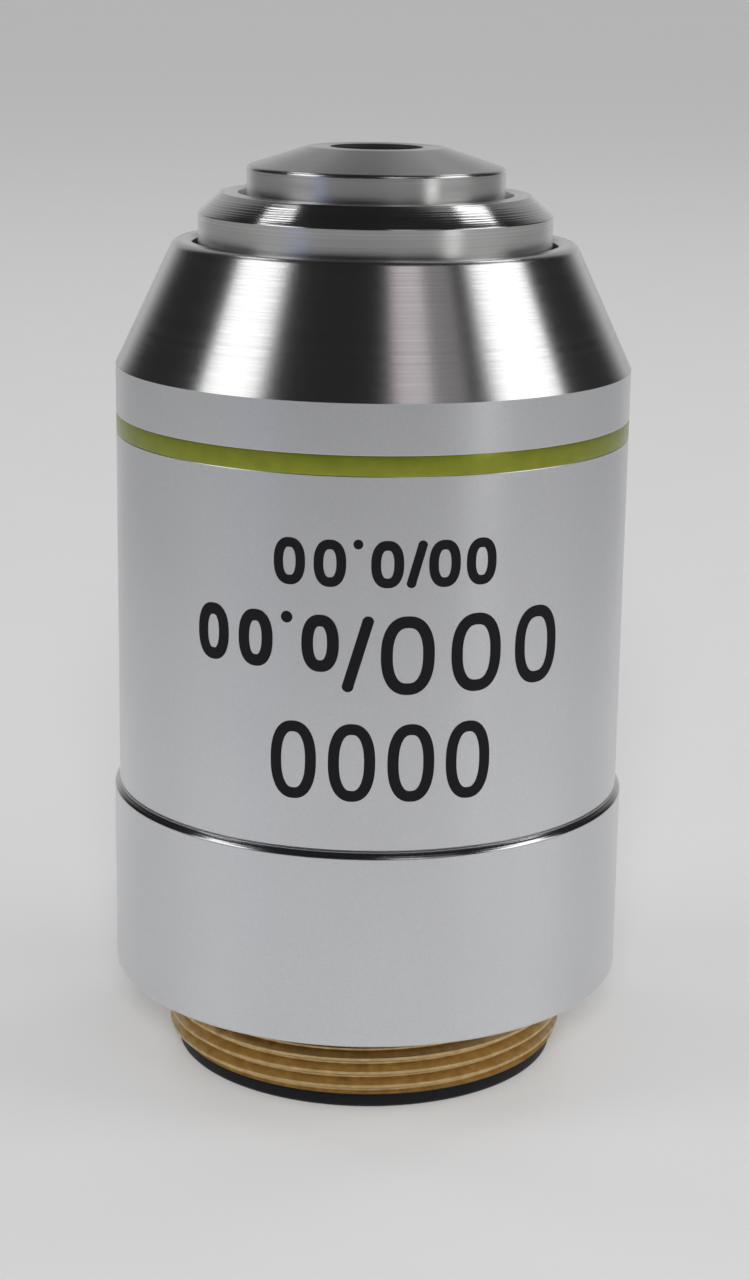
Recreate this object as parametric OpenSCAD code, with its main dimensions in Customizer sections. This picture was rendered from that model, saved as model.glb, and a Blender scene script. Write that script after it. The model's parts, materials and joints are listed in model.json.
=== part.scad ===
// A microscope objective with a train of eight lenses, standing on its thread with the
// front lens up. All its pieces but the set screws are turned about the Z axis.
// The origin is on the axis, in the plane of the mounting shoulder.
// Radii are built inwards from the shoulder and heights upwards from it, piece on piece.

/* [Mounting thread] */
// Major diameter of the mounting thread
thread_d = 20.32; // [19.8:0.02:21]
// Length of the threaded shank under the shoulder
thread_len = 3.75; // [3.2:0.05:5]
// Chamfer on the leading edge of the thread
thread_lead = 0.35; // [0.2:0.05:0.5]

/* [Lower ring] */
// Width of the mounting shoulder outside the thread
shoulder_w = 2.74; // [2.5:0.02:3.2]
// Height of the lower ring from the shoulder to the foot of the sleeve
ring_h = 9.75; // [8.75:0.25:12]
// Chamfer round the foot of the lower ring
foot_chamfer = 0.2; // [0.1:0.05:0.5]
// Step from the lower ring in to the sleeve, on the radius
ring_step = 0.25; // [0.1:0.01:0.4]
// Wall of the spigot that the sleeve fits over
spigot_wall = 1.87; // [1.5:0.01:2.1]
// Depth of the barrel seat below the top of the lower ring
seat_drop = 0.75; // [0.5:0.05:1.2]
// Width of the ledge that the lens barrel stands on, outside its bore
seat_inset = 1; // [0.7:0.05:1.3]
// Height of the spigot rim above the barrel lock ring
spigot_rim = 0.35; // [0.2:0.05:1]

/* [Rear stop ring] */
// Step from the thread's crest in to the flange of the rear stop ring
stop_flange_step = 0.46; // [0.4:0.02:0.8]
// Thickness of the flange that stands below the thread
stop_flange_t = 0.75; // [0.5:0.05:1.2]
// Radial depth of the counterbore that takes the spigot
stop_recess = 0.93; // [0.7:0.01:1.1]
// Length of the spigot inside the mount
stop_spigot_len = 1.8; // [1.2:0.1:2.4]
// How far the stop ring reaches in past the bore of the mount
stop_lip = 0.5; // [0.2:0.05:0.9]

/* [Sleeve] */
// Wall of the sleeve
sleeve_wall = 1.15; // [0.8:0.05:1.3]
// Height of the sleeve's conical nose
cone_h = 6; // [5:0.1:8]
// Width of the flat at the top of the nose
nose_w = 0.9; // [0.7:0.02:1.3]
// Height of the straight land inside the nose
nose_land = 1.2; // [0.8:0.1:2]
// Edge round between the nose flat and the cone
nose_round = 0.4; // [0.2:0.05:0.6]
// Gap between the nose and the lens barrel, on the radius
nose_gap = 0.28; // [0.15:0.01:0.45]

/* [Colour band] */
// Width of the colour band
band_w = 0.94; // [0.5:0.02:2]
// Distance of the band below the foot of the cone
band_drop = 2.36; // [1:0.02:5]
// Depth of the groove that holds the band
band_depth = 0.15; // [0.1:0.01:0.3]

/* [Lens barrel] */
// Wall of the lens barrel
barrel_wall = 1.72; // [1.5:0.01:2]
// Height of the lens barrel above the sleeve's nose
barrel_rise = 2.27; // [1.6:0.01:4]
// Width of the bevel round the barrel's top face
bevel_w = 1.09; // [0.6:0.01:1.2]
// Height of the bevel round the barrel's top face
bevel_h = 0.97; // [0.6:0.01:1.4]
// Width of the barrel's rim between the bevel and the wrench groove
rim_w = 0.83; // [0.6:0.01:1.2]
// Width of the wrench groove round the front cell
groove_w = 0.43; // [0.3:0.01:0.5]
// Depth of the wrench groove round the front cell
groove_depth = 0.8; // [0.5:0.05:1.2]
// Height of the inner ledge that takes the front cell's thread
ledge_h = 2.8; // [2.7:0.1:3.4]
// Height of the barrel's seating flange
flange_h = 3.4; // [3:0.1:4]
// Play round the flange that the set screws take up, on the radius
flange_play = 0.1; // [0.05:0.01:0.2]
// Thickness of the parfocal shim under the barrel
shim_t = 0.2; // [0.1:0.05:0.4]
// Width of the ring that locks the barrel in the mount
barrel_lock_w = 0.89; // [0.7:0.01:1.1]
// Height of the ring that locks the barrel in the mount
barrel_lock_h = 1.8; // [1.2:0.1:2.4]

/* [Set screws] */
// Number of set screws round the spigot
screw_count = 3; // [2:1:4]
// Diameter of a set screw
screw_d = 1.6; // [1.2:0.1:2]
// Height of the set screws above the lower ring
screw_rise = 1.3; // [1.1:0.05:1.5]
// Diameter of the flat on a set screw's point
point_d = 0.4; // [0.2:0.05:0.6]
// Depth of the groove round the flange that the points press into
vee_depth = 0.35; // [0.25:0.05:0.5]

/* [Front cell] */
// Height of the front cell above the lens barrel
tip_rise = 2.2; // [1.6:0.05:3]
// Width of the flat round the aperture
tip_flat_w = 1.25; // [0.8:0.05:1.6]
// Height of the shallow cone at the tip
tip_cone_h = 0.88; // [0.6:0.02:1.2]
// Chamfer at the foot of the shallow cone
tip_chamfer = 0.22; // [0.1:0.02:0.35]
// Step from the front cell's wall in to its thread
tip_step = 0.67; // [0.4:0.01:0.9]
// Wall of the front cell's thread round the lens pocket
tip_thread_wall = 2.2; // [1.6:0.05:2.6]
// Length of the front cell's thread
tip_thread_len = 2.5; // [2:0.1:2.6]
// Thickness of the lip over the front lens
lip_t = 0.5; // [0.3:0.05:0.7]
// Width of the lip over the front lens
lip_w = 1.27; // [0.9:0.01:1.5]
// Edge thickness of the front lens
front_lens_edge = 2; // [1.6:0.1:2.4]

/* [Lens cells] */
// Wall of a doublet's cell round the lenses
cell_wall = 1.84; // [1.5:0.01:2.2]
// Width of the seat lip that a lens rests against
seat_lip_w = 0.4; // [0.3:0.05:0.6]
// Thickness of the seat lip
seat_lip_t = 0.7; // [0.5:0.05:1]
// Height of a cell's rim past the lens in it
cell_rim = 0.6; // [0.4:0.05:1]
// Height of the thin spacers between the upper cells
thin_spacer_h = 0.8; // [0.5:0.05:1.2]
// Height of the long spacer above the meniscus cell
long_spacer_h = 4.22; // [2:0.02:8]
// Thickness of the aperture stop
stop_t = 0.5; // [0.3:0.05:0.8]
// How far the aperture stop reaches in past the doublets' edge
stop_inset = 0.5; // [0.2:0.05:1.5]
// Height of the ring that locks the lens cells
cell_lock_h = 1.5; // [1.2:0.1:2]
// Width of the ring that locks the lens cells
cell_lock_w = 1.6; // [1.2:0.05:2]

/* [Glass] */
// Edge thickness of the second lens
second_edge = 1.1; // [0.8:0.1:1.5]
// Edge thickness of the first doublet's crown
first_crown_edge = 0.48; // [0.3:0.02:1]
// Thickness of the first doublet's flint on the axis
first_flint_t = 1; // [0.8:0.1:1.5]
// Thickness of the second doublet's flint on the axis
second_flint_t = 1; // [0.8:0.1:1.5]
// Edge thickness of the second doublet's crown
second_crown_edge = 0.4; // [0.3:0.02:1]
// Edge thickness of the meniscus's crown
meniscus_crown_edge = 0.8; // [0.5:0.05:1.2]
// Thickness of the meniscus's flint on the axis
meniscus_flint_t = 2; // [1.5:0.1:2.5]

/* [Hidden] */
$fn = 128;

// Clearance between turned pieces that fit together, on the radius
fit = 0.03;
// Small edge break on the turned pieces
edge = 0.15;

// Radii, from the shoulder inwards
thread_r = thread_d / 2;
ring_r = thread_r + shoulder_w;
sleeve_r = ring_r - ring_step;
sleeve_bore_r = sleeve_r - sleeve_wall;
spigot_r = sleeve_bore_r - fit;
seat_bore_r = spigot_r - spigot_wall;
flange_r = seat_bore_r - flange_play;
barrel_lock_r = seat_bore_r - fit;
barrel_r = barrel_lock_r - barrel_lock_w - 2 * fit;
barrel_bore_r = barrel_r - barrel_wall;
cell_r = barrel_bore_r - fit;
rear_bore_r = barrel_bore_r + seat_inset;
stop_bore_r = rear_bore_r - stop_lip;
stop_spigot_r = rear_bore_r + stop_recess - fit;
nose_bore_r = barrel_r + nose_gap;
nose_r = nose_bore_r + nose_w;
barrel_top_r = barrel_r - bevel_w;
groove_r = barrel_top_r - rim_w;
tip_r = groove_r - groove_w;
tip_thread_r = tip_r - tip_step;
lens_pocket_r = tip_thread_r - tip_thread_wall;
front_lens_r = lens_pocket_r - fit;
aperture_r = front_lens_r - lip_w;
doublet_r = cell_r - cell_wall - fit;
second_lens_r = doublet_r - 0.6;
meniscus_r = doublet_r - 0.4;

// Radii of curvature of the glass
front_concave = 9;
front_convex = 6.4;
second_convex = 12;
crown_front = 16;
cement_first = 9;
flint_rear = 40;
flint_front = 22;
cement_second = 8;
crown_rear = 15;
meniscus_front = 9;
cement_meniscus = 30;
meniscus_rear = 7.5;

// Section of the ring that holds the front lens
lens_ring_w = 0.45;
lens_ring_h = 0.8;
// Spanner slots of the lock rings
slot_w = 1.2;
slot_depth = 0.6;
// Depth of the cell lock ring inside the foot of the barrel
lock_recess = 0.3;

// Depth of a spherical face of radius of curvature c over a chord of radius r
function cap(c, r) = c - sqrt(c * c - r * r);
// How far the edge of a convex face lies below the lip that the face rests against
function rim_drop(c, r) = cap(c, r) - cap(c, r - seat_lip_w);
// Points of an arc in the profile plane, from angle a to angle b
function arc(x, z, r, a, b, steps) =
    [for (i = [0:steps]) let (t = a + (b - a) * i / steps) [x + r * cos(t), z + r * sin(t)]];

// Edge heights of the lenses, added up to the height of each cell
first_flint_edge = first_flint_t + cap(cement_first, doublet_r) + cap(flint_rear, doublet_r);
second_flint_edge = second_flint_t - cap(flint_front, doublet_r) + cap(cement_second, doublet_r);
meniscus_flint_edge = meniscus_flint_t + cap(cement_meniscus, meniscus_r) + cap(meniscus_rear, meniscus_r);
second_cell_h = seat_lip_t + second_edge + cap(second_convex, second_lens_r) + cell_rim;
first_doublet_h = seat_lip_t + rim_drop(crown_front, doublet_r)
    + first_crown_edge + first_flint_edge + cell_rim;
second_doublet_h = seat_lip_t + rim_drop(flint_front, doublet_r)
    + second_flint_edge + second_crown_edge + cell_rim;
meniscus_h = seat_lip_t + rim_drop(meniscus_front, meniscus_r)
    + meniscus_crown_edge + meniscus_flint_edge + cell_rim;

// Heights, from the shoulder upwards
seat_z = ring_h - seat_drop;
barrel_foot = seat_z + shim_t;
flange_top = barrel_foot + flange_h;
spigot_top = flange_top + barrel_lock_h + spigot_rim;
screw_z = ring_h + screw_rise;
cell_lock_foot = barrel_foot + lock_recess;
cell_lock_top = cell_lock_foot + cell_lock_h;
aperture_stop_top = cell_lock_top + stop_t;
meniscus_top = aperture_stop_top + meniscus_h;
long_spacer_top = meniscus_top + long_spacer_h;
second_doublet_top = long_spacer_top + second_doublet_h;
middle_spacer_top = second_doublet_top + thin_spacer_h;
first_doublet_top = middle_spacer_top + first_doublet_h;
upper_spacer_top = first_doublet_top + thin_spacer_h;
second_cell_top = upper_spacer_top + second_cell_h;
front_seat_z = second_cell_top + ledge_h;
barrel_top = front_seat_z + groove_depth;
tip_z = barrel_top + tip_rise;
nose_z = barrel_top - barrel_rise;
cone_foot = nose_z - cone_h;
band_top = cone_foot - band_drop;

// Vertices of the glass, each pair hanging from the lip that its front face touches
first_doublet_vertex = first_doublet_top - seat_lip_t + cap(crown_front, doublet_r - seat_lip_w);
first_cement = first_doublet_vertex - first_crown_edge
    - cap(crown_front, doublet_r) - cap(cement_first, doublet_r);
second_doublet_vertex = second_doublet_top - seat_lip_t + cap(flint_front, doublet_r - seat_lip_w);
second_cement = second_doublet_vertex - second_flint_t;
meniscus_vertex = meniscus_top - seat_lip_t + cap(meniscus_front, meniscus_r - seat_lip_w);
meniscus_cement = meniscus_vertex - meniscus_crown_edge
    - cap(meniscus_front, meniscus_r) - cap(cement_meniscus, meniscus_r);

// A piece turned from a profile of radii and heights
module turned(profile) {
    rotate_extrude() polygon(profile);
}

// A plain turned ring with small edge breaks, from its top face down
module ring(inner, outer, top, h) {
    e = min(edge, h / 4);
    turned([[inner, top - e], [inner + e, top], [outer - e, top], [outer, top - e],
        [outer, top - h + e], [outer - e, top - h], [inner + e, top - h], [inner, top - h + e]]);
}

// The space behind a convex face: a ball that touches the vertex, or all space for other faces
module behind(vertex, c, up, r) {
    if (c > 0) translate([0, 0, vertex - up * c]) sphere(c);
    else cylinder(r = 2 * r, h = 4 * tip_z, center = true);
}

// A lens of radius r between its upper and lower vertex, with the radius of curvature
// of each face: above 0 for convex, below 0 for concave and 0 for flat
module lens(r, top, top_c, foot, foot_c) {
    high = top_c < 0 ? top + cap(-top_c, r) : top;
    low = foot_c < 0 ? foot - cap(-foot_c, r) : foot;
    difference() {
        intersection() {
            translate([0, 0, low]) cylinder(r = r, h = high - low);
            behind(top, top_c, 1, r);
            behind(foot, foot_c, -1, r);
        }
        if (top_c < 0) translate([0, 0, top - top_c]) sphere(-top_c);
        if (foot_c < 0) translate([0, 0, foot + foot_c]) sphere(-foot_c);
    }
}

// A cell with a seat lip at its top and a pocket for a lens of radius r below it
module lens_cell(top, h, r) {
    pocket = r + fit;
    lip_r = r - seat_lip_w;
    lip_bevel = seat_lip_t / 2;
    mouth = 2 * edge;
    foot = top - h;
    turned([[lip_r + lip_bevel, top], [cell_r - edge, top], [cell_r, top - edge],
        [cell_r, foot + edge], [cell_r - edge, foot], [pocket + mouth, foot],
        [pocket, foot + mouth], [pocket, top - seat_lip_t], [lip_r, top - seat_lip_t],
        [lip_r, top - lip_bevel]]);
}

// Two slots across a ring's end face for a pin spanner
module spanner_slots(face_z, reach) {
    translate([0, 0, face_z]) cube([2 * reach, slot_w, 2 * slot_depth], center = true);
}

// Places a piece at each set screw, at the screws' height
module screw_circle() {
    for (i = [0:screw_count - 1]) rotate(i * 360 / screw_count) translate([0, 0, screw_z]) children();
}

module mount_body() {
    foot = -thread_len;
    stop_seat = foot + stop_spigot_len + fit;
    recess_r = stop_spigot_r + fit;
    color("silver") difference() {
        turned([
            [recess_r, foot], [thread_r - thread_lead, foot],
            [thread_r, foot + thread_lead], [thread_r, 0],
            [ring_r - foot_chamfer, 0], [ring_r, foot_chamfer],
            [ring_r, ring_h - ring_step], [sleeve_r, ring_h], [spigot_r, ring_h],
            [spigot_r, spigot_top - edge], [spigot_r - edge, spigot_top],
            [seat_bore_r, spigot_top], [seat_bore_r, seat_z],
            [rear_bore_r, seat_z], [rear_bore_r, stop_seat], [recess_r, stop_seat]]);
        screw_circle() rotate([0, 90, 0]) cylinder(d = screw_d, h = sleeve_bore_r);
    }
}

module rear_stop_ring() {
    foot = -thread_len - stop_flange_t;
    flange = thread_r - stop_flange_step;
    top = -thread_len + stop_spigot_len;
    mouth = 3 * edge;
    color("#1c1d1f") turned([
        [stop_bore_r + mouth, foot], [flange - edge, foot], [flange, foot + edge],
        [flange, -thread_len], [stop_spigot_r, -thread_len],
        [stop_spigot_r, top - edge], [stop_spigot_r - edge, top],
        [stop_bore_r, top], [stop_bore_r, foot + mouth]]);
}

module outer_sleeve() {
    tilt = atan2(sleeve_r - nose_r, cone_h);
    groove_floor = sleeve_r - band_depth;
    // The round touches both the flat and the cone
    round_x = nose_r - nose_round * tan((90 - tilt) / 2);
    color("gainsboro") turned(concat(
        [[sleeve_bore_r + edge, ring_h], [sleeve_r, ring_h],
        [sleeve_r, band_top - band_w], [groove_floor, band_top - band_w],
        [groove_floor, band_top], [sleeve_r, band_top], [sleeve_r, cone_foot]],
        arc(round_x, nose_z - nose_round, nose_round, tilt, 90, 5),
        [[nose_bore_r + edge, nose_z], [nose_bore_r, nose_z - edge],
        [nose_bore_r, nose_z - nose_land], [sleeve_bore_r, cone_foot],
        [sleeve_bore_r, ring_h + edge]]));
}

module colour_band() {
    floor_r = sleeve_r - band_depth;
    color("#a8b51e") turned([[floor_r, band_top - band_w], [sleeve_r, band_top - band_w],
        [sleeve_r, band_top], [floor_r, band_top]]);
}

module lens_barrel() {
    thread_bore = tip_thread_r + fit;
    color("silver") turned([
        [barrel_bore_r, barrel_foot], [flange_r - edge, barrel_foot],
        [flange_r, barrel_foot + edge], [flange_r, screw_z - vee_depth],
        [flange_r - vee_depth, screw_z], [flange_r, screw_z + vee_depth],
        [flange_r, flange_top], [barrel_r, flange_top],
        [barrel_r, barrel_top - bevel_h], [barrel_top_r, barrel_top],
        [groove_r, barrel_top], [groove_r, front_seat_z],
        [thread_bore, front_seat_z], [thread_bore, second_cell_top],
        [barrel_bore_r, second_cell_top]]);
}

module parfocal_shim() {
    color("gold") turned([[rear_bore_r, seat_z], [flange_r, seat_z],
        [flange_r, barrel_foot], [rear_bore_r, barrel_foot]]);
}

module barrel_lock_ring() {
    top = flange_top + barrel_lock_h;
    color("goldenrod") difference() {
        ring(barrel_lock_r - barrel_lock_w, barrel_lock_r, top, barrel_lock_h);
        spanner_slots(top, seat_bore_r);
    }
}

module barrel_set_screws() {
    r = screw_d / 2 - fit;
    point_r = point_d / 2;
    // The point's flanks lie along the flanks of the groove in the barrel's flange
    point_x = flange_r - vee_depth + 2 * fit + point_r;
    shank_x = point_x + r - point_r;
    head_x = sleeve_bore_r - 3 * fit;
    socket_d = screw_d / 2;
    color("dimgray") screw_circle() rotate([0, 90, 0]) difference() {
        union() {
            translate([0, 0, shank_x]) cylinder(r = r, h = head_x - shank_x);
            translate([0, 0, point_x]) cylinder(r1 = point_r, r2 = r, h = shank_x - point_x);
        }
        translate([0, 0, head_x]) cylinder(d = socket_d, h = socket_d, center = true, $fn = 6);
    }
}

// The front lens rests under the lip, and its ring touches the lower face
lens_seat_z = tip_z - lip_t;
front_lens_top = lens_seat_z - cap(front_concave, front_lens_r);
front_lens_foot = lens_seat_z - front_lens_edge - cap(front_convex, front_lens_r);
lens_ring_bore = front_lens_r - lens_ring_w;
lens_ring_top = front_lens_foot + cap(front_convex, lens_ring_bore);

module front_cell() {
    rim_z = tip_z - tip_cone_h;
    thread_foot = front_seat_z - tip_thread_len;
    color("silver") turned([
        [aperture_r + edge, tip_z], [aperture_r + tip_flat_w, tip_z],
        [tip_r - tip_chamfer, rim_z], [tip_r, rim_z - tip_chamfer],
        [tip_r, front_seat_z], [tip_thread_r, front_seat_z],
        [tip_thread_r, thread_foot + edge], [tip_thread_r - edge, thread_foot],
        [lens_pocket_r, thread_foot], [lens_pocket_r, lens_seat_z],
        [aperture_r, lens_seat_z], [aperture_r, tip_z - edge]]);
}

module front_lens() {
    color("#b8c8d8", 0.6)
        lens(front_lens_r, front_lens_top, -front_concave, front_lens_foot, front_convex);
}

module front_lens_ring() {
    foot = lens_ring_top - lens_ring_h;
    color("#26272a") turned([[lens_ring_bore, lens_ring_top], [front_lens_r, lens_ring_top],
        [front_lens_r, foot], [lens_ring_bore + edge, foot], [lens_ring_bore, foot + edge]]);
}

// A spacer ring as wide as the doublets' cells
module spacer(top, h) {
    color("#2e2f32") ring(doublet_r - seat_lip_w, cell_r, top, h);
}

module second_cell() {
    color("#2e2f32") lens_cell(second_cell_top, second_cell_h, second_lens_r);
}

module second_lens() {
    seat = second_cell_top - seat_lip_t;
    foot = seat - second_edge - cap(second_convex, second_lens_r);
    color("#b8c8d8", 0.6) lens(second_lens_r, seat, 0, foot, second_convex);
}

module upper_spacer() {
    spacer(upper_spacer_top, thin_spacer_h);
}

module first_doublet_cell() {
    color("#2e2f32") lens_cell(first_doublet_top, first_doublet_h, doublet_r);
}

module first_doublet_crown() {
    color("#b8c8d8", 0.6)
        lens(doublet_r, first_doublet_vertex, crown_front, first_cement, cement_first);
}

module first_doublet_flint() {
    color("#a8b8c0", 0.6)
        lens(doublet_r, first_cement, -cement_first, first_cement - first_flint_t, -flint_rear);
}

module middle_spacer() {
    spacer(middle_spacer_top, thin_spacer_h);
}

module second_doublet_cell() {
    color("#2e2f32") lens_cell(second_doublet_top, second_doublet_h, doublet_r);
}

module second_doublet_flint() {
    color("#a8b8c0", 0.6)
        lens(doublet_r, second_doublet_vertex, flint_front, second_cement, -cement_second);
}

module second_doublet_crown() {
    foot = second_cement - second_crown_edge - cap(cement_second, doublet_r) - cap(crown_rear, doublet_r);
    color("#b8c8d8", 0.6) lens(doublet_r, second_cement, cement_second, foot, crown_rear);
}

module long_spacer() {
    spacer(long_spacer_top, long_spacer_h);
}

module meniscus_cell() {
    color("#2e2f32") lens_cell(meniscus_top, meniscus_h, meniscus_r);
}

module meniscus_crown() {
    color("#b8c8d8", 0.6)
        lens(meniscus_r, meniscus_vertex, meniscus_front, meniscus_cement, cement_meniscus);
}

module meniscus_flint() {
    color("#a8b8c0", 0.6) lens(meniscus_r, meniscus_cement, -cement_meniscus,
        meniscus_cement - meniscus_flint_t, -meniscus_rear);
}

module aperture_stop() {
    hole = doublet_r - stop_inset;
    bevel = stop_t / 2;
    color("#1c1d1f") turned([[hole + bevel, aperture_stop_top], [cell_r, aperture_stop_top],
        [cell_r, cell_lock_top], [hole, cell_lock_top], [hole, aperture_stop_top - bevel]]);
}

module cell_lock_ring() {
    color("#1c1d1f") difference() {
        ring(cell_r - cell_lock_w, cell_r, cell_lock_top, cell_lock_h);
        spanner_slots(cell_lock_foot, barrel_bore_r);
    }
}

mount_body();
rear_stop_ring();
outer_sleeve();
colour_band();
lens_barrel();
parfocal_shim();
barrel_lock_ring();
barrel_set_screws();
front_cell();
front_lens();
front_lens_ring();
second_cell();
second_lens();
upper_spacer();
first_doublet_cell();
first_doublet_crown();
first_doublet_flint();
middle_spacer();
second_doublet_cell();
second_doublet_flint();
second_doublet_crown();
long_spacer();
meniscus_cell();
meniscus_crown();
meniscus_flint();
aperture_stop();
cell_lock_ring();
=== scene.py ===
"""Looks of a microscope objective, standing on its mounting thread.

Pieces are modelled in millimetres and brought to metres when they are finished. The axis of
the objective is Z, and the marked side of its sleeve faces -Y, where the camera stands.
"""

import json
import math

import bpy
from mathutils import Matrix, Vector


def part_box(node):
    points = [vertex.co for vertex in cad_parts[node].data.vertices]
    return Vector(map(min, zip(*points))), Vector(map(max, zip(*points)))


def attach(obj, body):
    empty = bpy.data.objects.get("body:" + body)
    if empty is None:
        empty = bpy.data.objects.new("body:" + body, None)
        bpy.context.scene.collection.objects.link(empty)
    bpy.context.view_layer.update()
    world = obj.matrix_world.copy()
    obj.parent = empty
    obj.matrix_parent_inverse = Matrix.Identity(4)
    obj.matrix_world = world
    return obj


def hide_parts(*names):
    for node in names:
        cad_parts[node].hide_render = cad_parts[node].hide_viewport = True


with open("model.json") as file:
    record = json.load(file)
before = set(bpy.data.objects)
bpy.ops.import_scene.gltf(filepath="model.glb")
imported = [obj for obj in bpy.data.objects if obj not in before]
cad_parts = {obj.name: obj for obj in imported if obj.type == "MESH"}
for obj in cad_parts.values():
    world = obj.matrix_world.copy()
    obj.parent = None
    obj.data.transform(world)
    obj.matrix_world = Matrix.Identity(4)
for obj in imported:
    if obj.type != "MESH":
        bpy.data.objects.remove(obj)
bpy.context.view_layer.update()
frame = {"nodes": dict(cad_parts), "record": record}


def mm(length):
    """Millimetres to metres."""
    return length / 1000


def outer_radius(node):
    """Largest radius of a turned CAD node, in mm."""
    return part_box(node)[1].x * 1000


def heights(node):
    """Lowest and highest point of a CAD node, in mm."""
    low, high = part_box(node)
    return low.z * 1000, high.z * 1000


# Sizes that the frame gives, in mm
THREAD_FOOT, SPIGOT_TOP = heights("mount_body")
RING_R = outer_radius("mount_body")
SLEEVE_FOOT, NOSE_Z = heights("outer_sleeve")
SLEEVE_R = outer_radius("outer_sleeve")
BAND_FOOT, BAND_TOP = heights("colour_band")
BARREL_FOOT, BARREL_TOP = heights("lens_barrel")
FLANGE_R = outer_radius("lens_barrel")
CELL_FOOT, TIP_Z = heights("front_cell")
TIP_R = outer_radius("front_cell")
STOP_FOOT, STOP_TOP = heights("rear_stop_ring")
STOP_R = outer_radius("rear_stop_ring")

# Mounting thread: 0.8 inch, 36 to the inch, with some 55 degrees between its flanks
THREAD_R = 10.16
PITCH = 25.4 / 36
THREAD_DEPTH = 0.45
THREAD_LEAD = 0.35
CREST_FLAT = 0.14
ROOT_FLAT = 0.09
# Share of the pitch by which the cut starts below the thread's foot, which sets where in
# front the crests stand
THREAD_PHASE = 0.446

# Relief between the thread and the shoulder: its height, how far its floor lies below the
# thread's roots, and the height over which it runs out into the thread
RELIEF_H = 1.05
RELIEF_UNDERCUT = 0.1
RELIEF_RUNOUT = 0.3
RELIEF_R = THREAD_R - THREAD_DEPTH - RELIEF_UNDERCUT

# Lower ring and what it holds
FOOT_CHAMFER = 0.2
RING_STEP = RING_R - SLEEVE_R
SEAT_Z = 9.0
SEAT_BORE_R = 9.6
REAR_BORE_R = 7.9
SPIGOT_R = 11.47
STOP_BORE_R = 7.4
STOP_SPIGOT_R = 8.8
STOP_MOUTH = 0.45
SCREW_COUNT = 3
SCREW_HOLE_R = 0.8
SCREW_Z = 11.05
# Gap between the stop ring and its seat in the mount, above it and round it
STOP_GAP = 0.03

# Sleeve
SLEEVE_BORE_R = 11.5
CONE_H = 6
CONE_FOOT = NOSE_Z - CONE_H
NOSE_R = 9.8
NOSE_BORE_R = 8.9
NOSE_LAND = 1.2
NOSE_ROUND = 0.4
SLEEVE_CHAMFER = 0.1
BAND_DEPTH = 0.15

# Lens barrel
BARREL_R = 8.62
BARREL_RIM_R = 7.53
BEVEL_H = 0.97
WRENCH_GROOVE_R = 6.7
WRENCH_GROOVE_DEPTH = 0.8
BARREL_BORE_R = 6.9
THREAD_BORE_R = 5.63
LEDGE_FOOT = 35.516
FLANGE_H = 3.4
VEE_DEPTH = 0.35

# Front cell
TIP_THREAD_R = 5.6
TIP_FLAT_R = 3.35
TIP_CONE_H = 0.88
TIP_RIM_ROUND = 0.22
APERTURE_R = 2.1
LENS_POCKET_R = 3.4
LIP_T = 0.5

# Edges: the round that a cloth leaves on a turned edge, the same on the finer pieces, and the
# small chamfer that is turned on an edge first
EDGE_ROUND = 0.05
FINE_EDGE_ROUND = 0.03
EDGE_BREAK = 0.15

# How meshes are made: flats round a turned piece, the bend in degrees from which an edge is
# rounded, the distance in mm within which points become one, and the slack in mm on a radius
# by which faces are told apart
TURN_STEPS = 256
SHARP_BEND = 34
MERGE_GAP = 0.001
FACE_SLACK = 0.02

# Camera: the place, tilt and roll that a fit of the photograph's turned edges gives
CAMERA_PLACE = (0.25, -125.3, 49.3)
CAMERA_DOWN = 14.58
CAMERA_ROLL = 0.85
CAMERA_LENS = 71.85
CAMERA_SENSOR = 36

# Width of the floor in metres
FLOOR_WIDTH = 16

# Noise textures stay mostly between these two values
NOISE_LOW = 0.3
NOISE_HIGH = 0.7


def select_only(piece):
    """Makes one object the only selected and the active one."""
    bpy.ops.object.select_all(action="DESELECT")
    piece.select_set(True)
    bpy.context.view_layer.objects.active = piece


def apply_modifier(piece, kind, **settings):
    """Adds one modifier with its settings and applies it."""
    select_only(piece)
    modifier = piece.modifiers.new(kind.lower(), kind)
    for name, value in settings.items():
        setattr(modifier, name, value)
    bpy.ops.object.modifier_apply(modifier=modifier.name)


def arc(x, z, radius, start, end, steps):
    """Points of an arc in the outline's plane, from one angle to another in degrees."""
    turns = [math.radians(start + (end - start) * i / steps) for i in range(steps + 1)]
    return [(x + radius * math.cos(t), z + radius * math.sin(t)) for t in turns]


def draw_outline(name, outline):
    """A closed wire in the XZ plane through (radius, height) points, left in edit mode."""
    bpy.ops.object.select_all(action="DESELECT")
    bpy.ops.mesh.primitive_plane_add(size=1)
    piece = bpy.context.active_object
    piece.name = piece.data.name = name
    bpy.ops.object.mode_set(mode="EDIT")
    bpy.ops.mesh.select_all(action="SELECT")
    bpy.ops.mesh.merge(type="CENTER")
    x, z = outline[0]
    bpy.ops.transform.translate(value=(x, 0, z))
    for next_x, next_z in outline[1:]:
        step = (next_x - x, 0, next_z - z)
        bpy.ops.mesh.extrude_region_move(TRANSFORM_OT_translate={"value": step})
        x, z = next_x, next_z
    bpy.ops.object.mode_set(mode="OBJECT")
    edge_ends = [end for edge in piece.data.edges for end in edge.vertices]
    for v in piece.data.vertices:
        v.select = edge_ends.count(v.index) == 1
    bpy.ops.object.mode_set(mode="EDIT")
    bpy.ops.mesh.edge_face_add()
    return piece


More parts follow.
